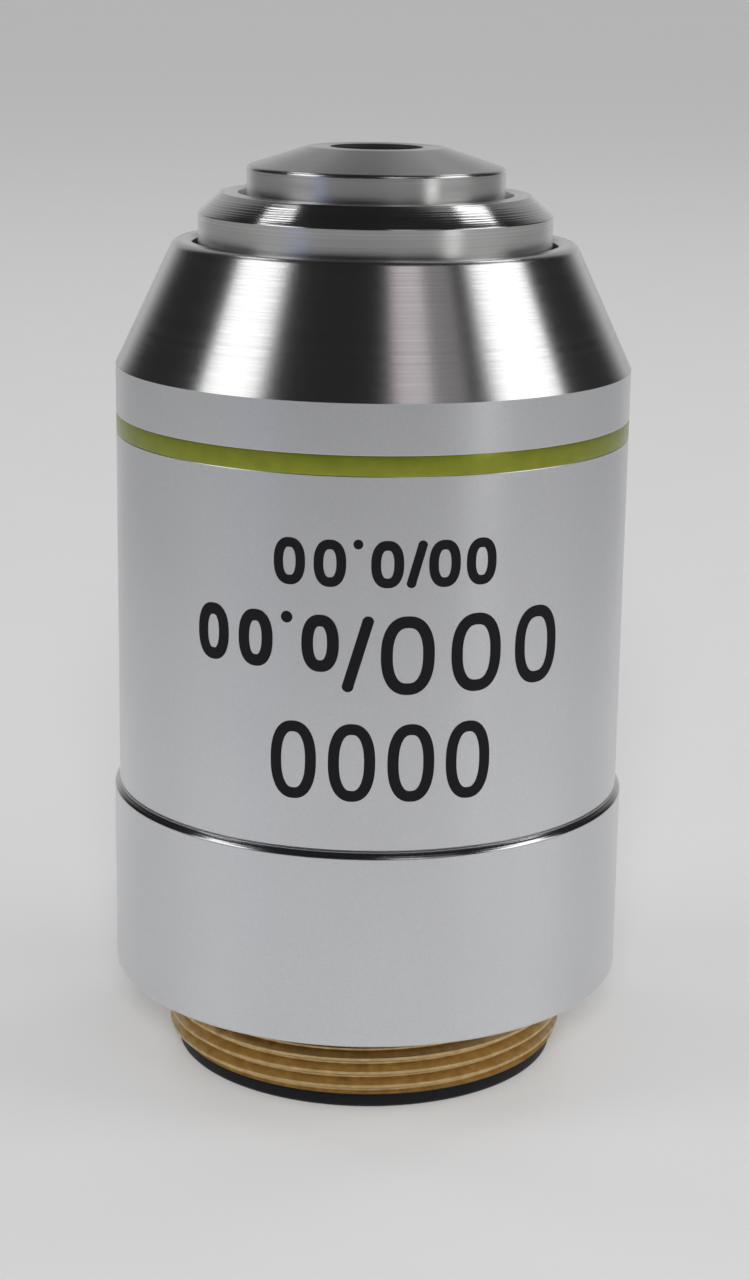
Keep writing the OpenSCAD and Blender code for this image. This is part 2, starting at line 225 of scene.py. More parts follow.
def turn(name, outline, edge_round=EDGE_ROUND):
    """A ring turned about Z from a closed outline, with its sharp edges rounded."""
    piece = draw_outline(name, outline)
    bpy.ops.mesh.select_all(action="SELECT")
    bpy.ops.mesh.spin(steps=TURN_STEPS, angle=math.tau, center=(0, 0, 0), axis=(0, 0, 1))
    bpy.ops.mesh.select_all(action="SELECT")
    bpy.ops.mesh.remove_doubles(threshold=MERGE_GAP)
    bpy.ops.mesh.normals_make_consistent(inside=False)
    bpy.ops.object.mode_set(mode="OBJECT")
    if edge_round:
        apply_modifier(piece, "BEVEL", width=edge_round, segments=2,
                       limit_method="ANGLE", angle_limit=math.radians(SHARP_BEND))
    return piece


def hollow(piece, cutter):
    """Cuts one closed mesh out of a piece, and deletes the cutter."""
    apply_modifier(piece, "BOOLEAN", object=cutter, operation="DIFFERENCE", solver="EXACT")
    bpy.data.objects.remove(cutter)


def give(piece, *materials):
    """Puts materials on a piece, in place of those it has."""
    piece.data.materials.clear()
    for material in materials:
        piece.data.materials.append(material)


def paint_faces(piece, materials, pick):
    """Gives each face the material that its reach from the axis, its height and its rise pick.

    The rise is the Z part of the face's normal: 1 faces up, 0 is upright and -1 faces down.
    """
    give(piece, *materials)
    for face in piece.data.polygons:
        reach = math.hypot(face.center.x, face.center.y)
        face.material_index = materials.index(pick(reach, face.center.z, face.normal.z))


def finish_piece(piece, smooth_bend=38):
    """Brings a piece to metres, and shades as one curve what bends less than the given angle."""
    select_only(piece)
    piece.scale = (mm(1),) * 3
    bpy.ops.object.transform_apply(scale=True)
    bpy.ops.object.shade_smooth_by_angle(angle=math.radians(smooth_bend))
    apply_modifier(piece, "WEIGHTED_NORMAL", keep_sharp=True)


def linear(hex_colour):
    """A colour written as sRGB hex, as linear red, green, blue and alpha."""
    parts = [int(hex_colour[i:i + 2], 16) / 255 for i in (1, 3, 5)]
    return [p / 12.92 if p <= 0.04045 else ((p + 0.055) / 1.055) ** 2.4 for p in parts] + [1]


def add_node(tree, kind, inputs=None, **settings):
    """Adds a node, sets its properties, and sets or links its inputs."""
    node = tree.nodes.new(kind)
    for name, value in settings.items():
        setattr(node, name, value)
    for name, value in (inputs or {}).items():
        if isinstance(value, bpy.types.NodeSocket):
            tree.links.new(value, node.inputs[name])
        else:
            node.inputs[name].default_value = value
    return node


def new_material(name, settings):
    """A material with its node tree and its Principled shader, which gets the settings."""
    material = bpy.data.materials.new(name)
    material.use_nodes = True
    shader = material.node_tree.nodes["Principled BSDF"]
    for socket, value in settings.items():
        shader.inputs[socket].default_value = value
    return material, material.node_tree, shader


def turning_coordinate(tree):
    """A length in metres that grows along a turned face, whichever way the face slopes."""
    place = add_node(tree, "ShaderNodeTexCoord").outputs["Object"]
    parts = add_node(tree, "ShaderNodeSeparateXYZ", {0: place})
    flat = add_node(tree, "ShaderNodeCombineXYZ", {"X": parts.outputs["X"], "Y": parts.outputs["Y"]})
    radius = add_node(tree, "ShaderNodeVectorMath", {0: flat.outputs[0]}, operation="LENGTH")
    return add_node(tree, "ShaderNodeMath", {0: parts.outputs["Z"], 1: radius.outputs["Value"]},
                    operation="SUBTRACT").outputs[0]


def satin_chrome():
    """Chrome plate over fine-blasted brass: soft, slightly blue, with no sharp reflection."""
    material, tree, shader = new_material("satin_chrome_plate", {"Metallic": 1.0})
    place = add_node(tree, "ShaderNodeTexCoord").outputs["Object"]
    # Blasting leaves a grain of about 0.12 mm, drawn coarse enough to show
    grain = add_node(tree, "ShaderNodeTexNoise", {"Vector": place, "Scale": 1 / mm(0.12), "Detail": 3})
    # Handling leaves cloudy patches some 6 mm wide
    cloud = add_node(tree, "ShaderNodeTexNoise", {"Vector": place, "Scale": 1 / mm(6), "Detail": 2})
    tint = add_node(tree, "ShaderNodeMix", {"Factor": grain.outputs["Fac"], "A": linear("#D6D7DA"),
                    "B": linear("#E4E5E7")}, data_type="RGBA")
    rough = add_node(tree, "ShaderNodeMapRange", {"Value": cloud.outputs["Fac"], "From Min": NOISE_LOW,
                     "From Max": NOISE_HIGH, "To Min": 0.27, "To Max": 0.32})
    bump = add_node(tree, "ShaderNodeBump", {"Height": grain.outputs["Fac"], "Strength": 0.12,
                    "Distance": mm(0.01)})
    tree.links.new(tint.outputs["Result"], shader.inputs["Base Color"])
    tree.links.new(rough.outputs[0], shader.inputs["Roughness"])
    tree.links.new(bump.outputs[0], shader.inputs["Normal"])
    return material


def turned_chrome(name, pale, dark, roughness, line_depth, line_gap=0.09):
    """Chrome over bright turned metal: fine rings that draw each reflection out along the slope.

    The depth of the tool's lines and the gap between them are in mm.
    """
    material, tree, shader = new_material(name, {
        "Metallic": 1.0, "Anisotropic": 0.7, "Anisotropic Rotation": 0.25})
    along = turning_coordinate(tree)
    lines = add_node(tree, "ShaderNodeTexNoise", {"W": along, "Scale": 1 / mm(line_gap), "Detail": 2},
                     noise_dimensions="1D")
    # The tool's feed also beats over about 0.4 mm, which makes some rings duller than others
    beat = add_node(tree, "ShaderNodeTexNoise", {"W": along, "Scale": 1 / mm(0.4), "Detail": 1},
                    noise_dimensions="1D")
    tint = add_node(tree, "ShaderNodeMix", {"Factor": lines.outputs["Fac"], "A": linear(dark),
                    "B": linear(pale)}, data_type="RGBA")
    rough = add_node(tree, "ShaderNodeMapRange", {"Value": beat.outputs["Fac"], "From Min": NOISE_LOW,
                     "From Max": NOISE_HIGH, "To Min": roughness - 0.015, "To Max": roughness + 0.015})
    bump = add_node(tree, "ShaderNodeBump", {"Height": lines.outputs["Fac"], "Strength": 0.5,
                    "Distance": mm(line_depth)})
    ring_way = add_node(tree, "ShaderNodeTangent", direction_type="RADIAL", axis="Z")
    tree.links.new(tint.outputs["Result"], shader.inputs["Base Color"])
    tree.links.new(rough.outputs[0], shader.inputs["Roughness"])
    tree.links.new(bump.outputs[0], shader.inputs["Normal"])
    tree.links.new(ring_way.outputs[0], shader.inputs["Tangent"])
    return material


def turned_brass(name, pale, dark, roughness):
    """Bare turned brass: warm yellow that has gone brown and a little dull in spots."""
    material, tree, shader = new_material(name, {"Metallic": 1.0})
    place = add_node(tree, "ShaderNodeTexCoord").outputs["Object"]
    # Tarnish comes in spots of about 0.5 mm
    tarnish = add_node(tree, "ShaderNodeTexNoise", {"Vector": place, "Scale": 1 / mm(0.5), "Detail": 4})
    tint = add_node(tree, "ShaderNodeMix", {"Factor": tarnish.outputs["Fac"], "A": linear(dark),
                    "B": linear(pale)}, data_type="RGBA")
    rough = add_node(tree, "ShaderNodeMapRange", {"Value": tarnish.outputs["Fac"], "From Min": NOISE_LOW,
                     "From Max": NOISE_HIGH, "To Min": roughness + 0.08, "To Max": roughness})
    # The threading tool chatters in lines of about 0.06 mm
    lines = add_node(tree, "ShaderNodeTexNoise", {"W": turning_coordinate(tree), "Scale": 1 / mm(0.06),
                     "Detail": 1}, noise_dimensions="1D")
    bump = add_node(tree, "ShaderNodeBump", {"Height": lines.outputs["Fac"], "Strength": 0.2,
                    "Distance": mm(0.004)})
    tree.links.new(tint.outputs["Result"], shader.inputs["Base Color"])
    tree.links.new(rough.outputs[0], shader.inputs["Roughness"])
    tree.links.new(bump.outputs[0], shader.inputs["Normal"])
    return material


def blackened(name, pale, dark, metallic, roughness, specular=0.5):
    """Black anodised, blackened or painted metal: matt, finely pitted, and paler where worn."""
    material, tree, shader = new_material(name, {"Metallic": metallic, "Specular IOR Level": specular})
    place = add_node(tree, "ShaderNodeTexCoord").outputs["Object"]
    # The black coat has pores of about 0.1 mm and wears pale in spots of 0.7 mm
    pores = add_node(tree, "ShaderNodeTexNoise", {"Vector": place, "Scale": 1 / mm(0.1), "Detail": 2})
    wear = add_node(tree, "ShaderNodeTexNoise", {"Vector": place, "Scale": 1 / mm(0.7), "Detail": 3})
    tint = add_node(tree, "ShaderNodeMix", {"Factor": wear.outputs["Fac"], "A": linear(dark),
                    "B": linear(pale)}, data_type="RGBA")
    rough = add_node(tree, "ShaderNodeMapRange", {"Value": wear.outputs["Fac"], "From Min": NOISE_LOW,
                     "From Max": NOISE_HIGH, "To Min": roughness, "To Max": roughness + 0.1})
    bump = add_node(tree, "ShaderNodeBump", {"Height": pores.outputs["Fac"], "Strength": 0.25,
                    "Distance": mm(0.008)})
    tree.links.new(tint.outputs["Result"], shader.inputs["Base Color"])
    tree.links.new(rough.outputs[0], shader.inputs["Roughness"])
    tree.links.new(bump.outputs[0], shader.inputs["Normal"])
    return material


def band_enamel():
    """Stoved yellow-green enamel, clear over the bright groove: it mirrors softly, as metal does."""
    material, tree, shader = new_material("stoved_enamel", {
        "Metallic": 0.85, "Roughness": 0.34, "Coat Weight": 0.4, "Coat Roughness": 0.2})
    place = add_node(tree, "ShaderNodeTexCoord").outputs["Object"]
    # The coat is thicker and thinner over some 0.8 mm
    mottle = add_node(tree, "ShaderNodeTexNoise", {"Vector": place, "Scale": 1 / mm(0.8), "Detail": 3})
    share = add_node(tree, "ShaderNodeMapRange", {"Value": mottle.outputs["Fac"], "From Min": NOISE_LOW,
                     "From Max": NOISE_HIGH})
    tint = add_node(tree, "ShaderNodeMix", {"Factor": share.outputs[0], "A": linear("#888F28"),
                    "B": linear("#939A2C")}, data_type="RGBA")
    bump = add_node(tree, "ShaderNodeBump", {"Height": mottle.outputs["Fac"], "Strength": 0.12,
                    "Distance": mm(0.02)})
    tree.links.new(tint.outputs["Result"], shader.inputs["Base Color"])
    tree.links.new(bump.outputs[0], shader.inputs["Normal"])
    return material


def lens_glass(name, tint_hex, ior):
    """Polished and coated optical glass: clear, with a faint tint from the coating."""
    material, tree, shader = new_material(name, {
        "Roughness": 0.02, "IOR": ior, "Transmission Weight": 1.0})
    place = add_node(tree, "ShaderNodeTexCoord").outputs["Object"]
    # The coating is uneven over patches of about 1 mm
    patches = add_node(tree, "ShaderNodeTexNoise", {"Vector": place, "Scale": 1 / mm(1), "Detail": 2})
    tint = add_node(tree, "ShaderNodeMix", {"Factor": patches.outputs["Fac"], "A": linear(tint_hex),
                    "B": linear("#FFFFFF")}, data_type="RGBA")
    tree.links.new(tint.outputs["Result"], shader.inputs["Base Color"])
    return material


def floor_paper():
    """Pale satin card, faintly cloudy, with painted shade that greys it from a hand's breadth away, though
    not behind.
    """
    material, tree, shader = new_material("pale_card", {"Roughness": 0.42, "Specular IOR Level": 0.25})
    place = add_node(tree, "ShaderNodeTexCoord").outputs["Object"]
    # Pulp clouds are some 12 mm wide
    cloud = add_node(tree, "ShaderNodeTexNoise", {"Vector": place, "Scale": 1 / mm(12), "Detail": 1})
    paper = add_node(tree, "ShaderNodeMix", {"Factor": cloud.outputs["Fac"], "A": linear("#EAEAEA"),
                     "B": linear("#ECECEC")}, data_type="RGBA")
    # Painted shade: the grey comes in from 40 to 160 mm away
    parts = add_node(tree, "ShaderNodeSeparateXYZ", {0: place})
    reach = add_node(tree, "ShaderNodeVectorMath", {0: place}, operation="LENGTH").outputs["Value"]
    away = add_node(tree, "ShaderNodeMapRange", {"Value": reach, "From Min": mm(40), "From Max": mm(160)},
                    interpolation_type="SMOOTHSTEP")
    # The painted shade leaves out a wedge toward +Y, and fades in between half angles with these cosines
    backward = add_node(tree, "ShaderNodeMath", {0: parts.outputs["Y"], 1: reach}, operation="DIVIDE")
    beside = add_node(tree, "ShaderNodeMapRange", {"Value": backward.outputs[0], "From Min": 0.95,
                      "From Max": 0.75}, interpolation_type="SMOOTHSTEP")
    shade = add_node(tree, "ShaderNodeMath", {0: away.outputs[0], 1: beside.outputs[0]},
                     operation="MULTIPLY")
    tint = add_node(tree, "ShaderNodeMix", {"Factor": shade.outputs[0], "A": paper.outputs["Result"],
                    "B": linear("#D1D1D1")}, data_type="RGBA")
    tree.links.new(tint.outputs["Result"], shader.inputs["Base Color"])
    return material


def place_camera():
    """The camera that took the photograph: low in front, looking a little down on the tip."""
    camera = bpy.data.objects.new("camera", bpy.data.cameras.new("camera"))
    bpy.context.scene.collection.objects.link(camera)
    camera.data.lens = CAMERA_LENS
    camera.data.sensor_width = CAMERA_SENSOR
    camera.data.clip_start = mm(5)
    camera.data.clip_end = 40
    tilt = Matrix.Rotation(math.radians(90 - CAMERA_DOWN), 4, "X")
    roll = Matrix.Rotation(math.radians(CAMERA_ROLL), 4, "Z")
    camera.matrix_world = Matrix.Translation([mm(v) for v in CAMERA_PLACE]) @ tilt @ roll
    bpy.context.scene.camera = camera


def softbox(name, azimuth, elevation, width, height, radiance, colour="#FFFFFF", distance=0.6):
    """A rectangular lamp that faces a point in the upper half of the objective.

    Its angles are in degrees, round from the front and up, and its lengths in metres.
    """
    lamp = bpy.data.lights.new(name, "AREA")
    lamp.shape = "RECTANGLE"
    lamp.size, lamp.size_y = width, height
    lamp.energy = radiance * math.pi * width * height
    lamp.color = linear(colour)[:3]
    holder = bpy.data.objects.new(name, lamp)
    bpy.context.scene.collection.objects.link(holder)
    a, e = math.radians(azimuth), math.radians(elevation)
    way = Vector((math.sin(a) * math.cos(e), -math.cos(a) * math.cos(e), math.sin(e)))
    aim = Vector((0, 0, mm(30)))
    holder.location = way * distance + aim
    holder.rotation_mode = "QUATERNION"
    holder.rotation_quaternion = way.to_track_quat("Z", "Y")
    holder.visible_camera = False


def place_lamps():
    """Softboxes that the bright metal mirrors, and a broad lamp that mirrors don't show."""
    softbox("left_softbox", -72, 33, 0.275, 0.27, 2.2)
    softbox("right_softbox", 79, 32, 0.33, 0.27, 2.3)
    softbox("front_strip", 20, 42, 0.15, 0.3, 0.6, "#FFF4F7")
    softbox("strip_edge", 29, 41, 0.32, 0.3, 0.33, "#FFF8FA", distance=0.62)
    softbox("right_low_card", 50, 4, 0.11, 0.1, 2.3)
    softbox("left_blue_card", -50, 6, 0.14, 0.2, 0.3, "#88A4FF")
    softbox("left_back_light", -120, 55, 0.095, 0.13, 3.1)
    softbox("right_back_light", 130, 53, 0.13, 0.13, 3.0)
    softbox("ceiling_glow", 152, 60, 0.22, 0.14, 0.4, distance=0.62)
    # The broad lamp stands low in front, so the shadow that it casts falls behind. With it, matt
    # surfaces in front render about as they are written.
    elevation = 26
    lamp = bpy.data.lights.new("front_daylight", "SUN")
    lamp.angle = math.radians(20)
    lamp.energy = 2.5
    holder = bpy.data.objects.new("front_daylight", lamp)
    bpy.context.scene.collection.objects.link(holder)
    holder.rotation_euler = (math.radians(90 - elevation), 0, 0)
    holder.visible_glossy = False


def set_world():
    """A plain backdrop for the camera, a room for what is mirrored, and even light for the rest."""
    world = bpy.data.worlds.new("studio")
    bpy.context.scene.world = world
    world.use_nodes = True
    tree = world.node_tree
    tree.nodes.clear()
    path = add_node(tree, "ShaderNodeLightPath")
    way = add_node(tree, "ShaderNodeTexCoord").outputs["Generated"]
    parts = add_node(tree, "ShaderNodeSeparateXYZ", {0: way})
    # The mirrored room is dim, with a pale wall toward +Y that fades sideways and upwards
    ahead = add_node(tree, "ShaderNodeMapRange", {"Value": parts.outputs["Y"], "From Min": 0.45,
                     "From Max": 0.7}, interpolation_type="SMOOTHSTEP")
    aside = add_node(tree, "ShaderNodeMath", {0: parts.outputs["X"]}, operation="ABSOLUTE")
    middle = add_node(tree, "ShaderNodeMapRange", {"Value": aside.outputs[0], "From Min": 0.75,
                      "From Max": 0.42}, interpolation_type="SMOOTHSTEP")
    behind = add_node(tree, "ShaderNodeMath", {0: ahead.outputs[0], 1: middle.outputs[0]},
                      operation="MULTIPLY")
    fall = add_node(tree, "ShaderNodeMapRange", {"Value": parts.outputs["Z"], "From Min": 0.0,
                    "From Max": 0.62, "To Min": 0.74, "To Max": 0.34})
    lit = add_node(tree, "ShaderNodeMath", {0: behind.outputs[0], 1: fall.outputs[0]}, operation="MULTIPLY")
    dimmest = 0.026
    level = add_node(tree, "ShaderNodeMath", {0: lit.outputs[0], 1: dimmest}, operation="ADD")
    room = add_node(tree, "ShaderNodeBackground", {"Strength": level.outputs[0]})
    backdrop = add_node(tree, "ShaderNodeBackground", {"Color": linear("#B9B9B9")})
    even = add_node(tree, "ShaderNodeBackground", {"Strength": 0.28})
    mirrored = add_node(tree, "ShaderNodeMath", {0: path.outputs["Is Glossy Ray"],
                        1: path.outputs["Is Transmission Ray"]}, operation="MAXIMUM")
    unseen = add_node(tree, "ShaderNodeMixShader", {0: mirrored.outputs[0], 1: even.outputs[0],
                      2: room.outputs[0]})
    shown = add_node(tree, "ShaderNodeMixShader", {0: path.outputs["Is Camera Ray"],
                     1: unseen.outputs[0], 2: backdrop.outputs[0]})
    add_node(tree, "ShaderNodeOutputWorld", {"Surface": shown.outputs[0]})


def lay_floor():
    """The pale card that the objective stands on."""
    bpy.ops.object.select_all(action="DESELECT")
    bpy.ops.mesh.primitive_plane_add(size=FLOOR_WIDTH, location=(0, 0, mm(STOP_FOOT)))
    floor = bpy.context.active_object
    floor.name = "floor"
    give(floor, floor_paper())


def cut_thread(body):
    """Cuts the helix of the mounting thread with one long V-shaped screw, closed at both ends."""
    flank = (PITCH - CREST_FLAT) / 2
    root = THREAD_R - THREAD_DEPTH
    outside = THREAD_R + 0.4
    turns = 5
    steps = 144
    low = THREAD_FOOT - THREAD_PHASE * PITCH
    vee = [(outside, -flank), (THREAD_R, -flank), (root, -ROOT_FLAT / 2),
           (root, ROOT_FLAT / 2), (THREAD_R, flank), (outside, flank)]
    cutter = draw_outline("thread_cutter", [(x, z + low) for x, z in vee])
    bpy.ops.object.mode_set(mode="OBJECT")
    apply_modifier(cutter, "SCREW", axis="Z", angle=math.tau, screw_offset=PITCH, iterations=turns,
                   steps=steps, render_steps=steps, use_merge_vertices=False)
    bpy.ops.object.mode_set(mode="EDIT")
    bpy.ops.mesh.select_all(action="SELECT")
    bpy.ops.mesh.fill_holes(sides=0)
    bpy.ops.mesh.select_all(action="SELECT")
    bpy.ops.mesh.normals_make_consistent(inside=False)
    bpy.ops.object.mode_set(mode="OBJECT")
    hollow(body, cutter)


def drill_screw_holes(body):
    """Drills the holes of the screws that centre the barrel, through the wall of the spigot."""
    middle = (SEAT_BORE_R + SPIGOT_R) / 2
    drill_length = 4
    for i in range(SCREW_COUNT):
        turned_by = math.tau * i / SCREW_COUNT
        bpy.ops.object.select_all(action="DESELECT")
        bpy.ops.mesh.primitive_cylinder_add(
            radius=SCREW_HOLE_R, depth=drill_length, vertices=32, rotation=(0, math.pi / 2, turned_by),
            location=(middle * math.cos(turned_by), middle * math.sin(turned_by), SCREW_Z))
        hollow(body, bpy.context.active_object)


def make_mount_body(chrome, thread_brass, relief_painted_shade_brass, coarse):
    """The lower ring, its spigot and the threaded shank, which is one turning."""
    stop_seat = STOP_TOP + STOP_GAP
    recess = STOP_SPIGOT_R + STOP_GAP
    thread_top = -RELIEF_H - RELIEF_RUNOUT
    below_shoulder = -0.01
    chamfer_rise = 0.3
    body = turn("mount_body_turned", [
        (recess, THREAD_FOOT), (THREAD_R - THREAD_LEAD, THREAD_FOOT),
        (THREAD_R, THREAD_FOOT + THREAD_LEAD), (THREAD_R, thread_top),
        (RELIEF_R, -RELIEF_H), (RELIEF_R, 0), (RING_R - FOOT_CHAMFER, 0), (RING_R, FOOT_CHAMFER),
        (RING_R, SLEEVE_FOOT - RING_STEP), (SLEEVE_R, SLEEVE_FOOT), (SPIGOT_R, SLEEVE_FOOT),
        (SPIGOT_R, SPIGOT_TOP - EDGE_BREAK), (SPIGOT_R - EDGE_BREAK, SPIGOT_TOP),
        (SEAT_BORE_R, SPIGOT_TOP), (SEAT_BORE_R, SEAT_Z), (REAR_BORE_R, SEAT_Z),
        (REAR_BORE_R, stop_seat), (recess, stop_seat)])
    cut_thread(body)
    drill_screw_holes(body)

    def finish_of(reach, height, rise):
        """Bare brass below the shoulder, darkened in the relief as painted shade under the ring, and chrome
        above with a coarser top chamfer.
        """
        if height < below_shoulder and reach < THREAD_R + FACE_SLACK:
            return relief_painted_shade_brass if height > thread_top else thread_brass
        return coarse if reach > SLEEVE_R and rise > chamfer_rise else chrome

    paint_faces(body, [chrome, thread_brass, relief_painted_shade_brass, coarse], finish_of)
    finish_piece(body)
    return body


def make_stop_ring(black):
    """The black ring below the thread, with its spigot inside the mount."""
    ring = turn("rear_stop_ring_turned", [
        (STOP_BORE_R + STOP_MOUTH, STOP_FOOT), (STOP_R - EDGE_BREAK, STOP_FOOT),
        (STOP_R, STOP_FOOT + EDGE_BREAK), (STOP_R, THREAD_FOOT), (STOP_SPIGOT_R, THREAD_FOOT),
        (STOP_SPIGOT_R, STOP_TOP - EDGE_BREAK), (STOP_SPIGOT_R - EDGE_BREAK, STOP_TOP),
        (STOP_BORE_R, STOP_TOP), (STOP_BORE_R, STOP_FOOT + STOP_MOUTH)])
    give(ring, black)
    finish_piece(ring)
    return ring


def make_sleeve(chrome, bright):
    """The satin sleeve with its bright nose, the groove for the band and the land in the nose."""
    tilt = math.degrees(math.atan2(SLEEVE_R - NOSE_R, NOSE_Z - CONE_FOOT))
    round_x = NOSE_R - NOSE_ROUND * math.tan(math.radians(90 - tilt) / 2)
    groove_floor = SLEEVE_R - BAND_DEPTH
    sleeve = turn("outer_sleeve_turned", [
        (SLEEVE_BORE_R + EDGE_BREAK, SLEEVE_FOOT), (SLEEVE_R - SLEEVE_CHAMFER, SLEEVE_FOOT),
        (SLEEVE_R, SLEEVE_FOOT + SLEEVE_CHAMFER), (SLEEVE_R, BAND_FOOT), (groove_floor, BAND_FOOT),
        (groove_floor, BAND_TOP), (SLEEVE_R, BAND_TOP), (SLEEVE_R, CONE_FOOT),
        *arc(round_x, NOSE_Z - NOSE_ROUND, NOSE_ROUND, tilt, 90, steps=8),
        (NOSE_BORE_R + EDGE_BREAK, NOSE_Z), (NOSE_BORE_R, NOSE_Z - EDGE_BREAK),
        (NOSE_BORE_R, NOSE_Z - NOSE_LAND), (SLEEVE_BORE_R, CONE_FOOT),
        (SLEEVE_BORE_R, SLEEVE_FOOT + EDGE_BREAK)], edge_round=FINE_EDGE_ROUND)

    def finish_of(reach, height, rise):
        """Bright turned metal on the nose, and satin below it."""
        return bright if height > CONE_FOOT else chrome

    paint_faces(sleeve, [chrome, bright], finish_of)
    finish_piece(sleeve, smooth_bend=20)
    return sleeve


def make_band(enamel):
    """The enamel in its groove, a hair below the sleeve at its edges and level in the middle."""
    floor = SLEEVE_R - BAND_DEPTH
    sink = 0.02
    shoulder = 0.12
    band = turn("colour_band_enamel", [
        (floor, BAND_FOOT), (SLEEVE_R - sink, BAND_FOOT), (SLEEVE_R, BAND_FOOT + shoulder),
        (SLEEVE_R, BAND_TOP - shoulder), (SLEEVE_R - sink, BAND_TOP), (floor, BAND_TOP)], edge_round=0)
    give(band, enamel)
    finish_piece(band)
    return band


def make_barrel(pale, coarse):
    """The lens barrel: a flange with its V groove, the bevelled top and the wrench groove."""
    flange_top = BARREL_FOOT + FLANGE_H
    groove_floor = BARREL_TOP - WRENCH_GROOVE_DEPTH
    wall_rise = 0.2
    level_rise = 0.95
    barrel = turn("lens_barrel_turned", [
        (BARREL_BORE_R, BARREL_FOOT), (FLANGE_R - EDGE_BREAK, BARREL_FOOT),
        (FLANGE_R, BARREL_FOOT + EDGE_BREAK), (FLANGE_R, SCREW_Z - VEE_DEPTH),
        (FLANGE_R - VEE_DEPTH, SCREW_Z), (FLANGE_R, SCREW_Z + VEE_DEPTH), (FLANGE_R, flange_top),
        (BARREL_R, flange_top), (BARREL_R, BARREL_TOP - BEVEL_H), (BARREL_RIM_R, BARREL_TOP),
        (WRENCH_GROOVE_R, BARREL_TOP), (WRENCH_GROOVE_R, groove_floor), (THREAD_BORE_R, groove_floor),
        (THREAD_BORE_R, LEDGE_FOOT), (BARREL_BORE_R, LEDGE_FOOT)], edge_round=FINE_EDGE_ROUND)

    def finish_of(reach, height, rise):
        """Coarse turning lines where a face outside the rim slopes up, as the bevel does."""
        return coarse if reach > BARREL_RIM_R and wall_rise < rise < level_rise else pale

    paint_faces(barrel, [pale, coarse], finish_of)
    finish_piece(barrel)
    return barrel


def make_front_cell(dull, cell_black, bright, pale):
    """The front cell: a flat round the aperture, the shallow cone, its rounded rim and the wall."""
    rim_z = TIP_Z - TIP_CONE_H
    rim_r = TIP_R - TIP_RIM_ROUND
    lean = math.degrees(math.atan2(rim_r - TIP_FLAT_R, TIP_CONE_H))
    seat = BARREL_TOP - WRENCH_GROOVE_DEPTH
    lens_seat = TIP_Z - LIP_T
    wall_rise = 0.1
    top_rise = 0.5
    cone_rise = 0.9
    cell = turn("front_cell_turned", [
        (APERTURE_R + EDGE_BREAK, TIP_Z), (TIP_FLAT_R, TIP_Z),
        *arc(rim_r, rim_z - TIP_RIM_ROUND, TIP_RIM_ROUND, lean, 0, steps=7),
        (TIP_R, seat), (TIP_THREAD_R, seat),
        (TIP_THREAD_R, CELL_FOOT + EDGE_BREAK), (TIP_THREAD_R - EDGE_BREAK, CELL_FOOT),
        (LENS_POCKET_R, CELL_FOOT), (LENS_POCKET_R, lens_seat), (APERTURE_R, lens_seat),
        (APERTURE_R, TIP_Z - EDGE_BREAK)], edge_round=FINE_EDGE_ROUND)

    def finish_of(reach, height, rise):
        """Black inside, bright on the rounded rim, pale on the wall and dull on the cone."""
        in_pocket = reach < LENS_POCKET_R + FACE_SLACK and rise < top_rise
        if in_pocket or reach < APERTURE_R + EDGE_BREAK:
            return cell_black
        if reach > rim_r and rise < cone_rise:
            return bright if rise > wall_rise else pale
        return dull

    paint_faces(cell, [dull, cell_black, bright, pale], finish_of)
    finish_piece(cell, smooth_bend=17)
    return cell


def polish(name, node, glass):
    """A lens as its polisher leaves it: a copy of its solid whose facets shade as true curves."""
    lens = bpy.data.objects.new(name + "_polished", node.data.copy())
    bpy.context.scene.collection.objects.link(lens)
    select_only(lens)
    bpy.ops.object.mode_set(mode="EDIT")
    bpy.ops.mesh.select_all(action="SELECT")
    bpy.ops.mesh.remove_doubles(threshold=mm(0.0005))
    bpy.ops.object.mode_set(mode="OBJECT")
    bpy.ops.object.shade_smooth_by_angle(angle=math.radians(30))
    give(lens, glass)
    return lens


# Marks on the sleeve, as plain zeros, slashes and dots. They are read with the objective upside
# down, so a row's dots stand at its upper edge. A sign is given by the arc from the front of the
# sleeve to its middle, by its width and by its height, all in mm.
SMALL_ROW = {"top": 24.62, "stroke": 0.45, "signs": [
    ("zero", 5.25, 1.5, 2.2), ("zero", 3.45, 1.5, 2.2), ("slash", 2.15, 0.95, 2.2),
    ("zero", 0.8, 1.5, 2.2), ("dot", -0.54, 0.37, 0.37), ("zero", -1.83, 1.5, 2.2),
    ("zero", -3.73, 1.5, 2.2)]}
LARGE_ROW = {"top": 21.1, "stroke": 0.55, "signs": [
    ("zero", 8.4, 2.5, 3.72), ("zero", 5.1, 2.5, 3.72), ("zero", 1.8, 2.5, 3.72),
    ("slash", -0.5, 1.45, 3.6), ("zero", -2.25, 1.75, 2.7), ("dot", -3.84, 0.42, 0.42),
    ("zero", -5.4, 1.75, 2.7), ("zero", -7.7, 1.75, 2.7)]}
BOTTOM_ROW = {"top": 15.98, "stroke": 0.52, "signs": [
    ("zero", 4.79, 2.2, 3.75), ("zero", 2.03, 2.2, 3.75), ("zero", -0.73, 2.2, 3.75),
    ("zero", -3.49, 2.2, 3.75)]}
# Exponent of the zeros' outline: 2 is an ellipse, and more is squarer
ZERO_SQUARENESS = 2.35
# The marks' paint: how far it stands out of the sleeve, and its thickness
PAINT_PROUD = 0.012
PAINT_THICKNESS = 0.02


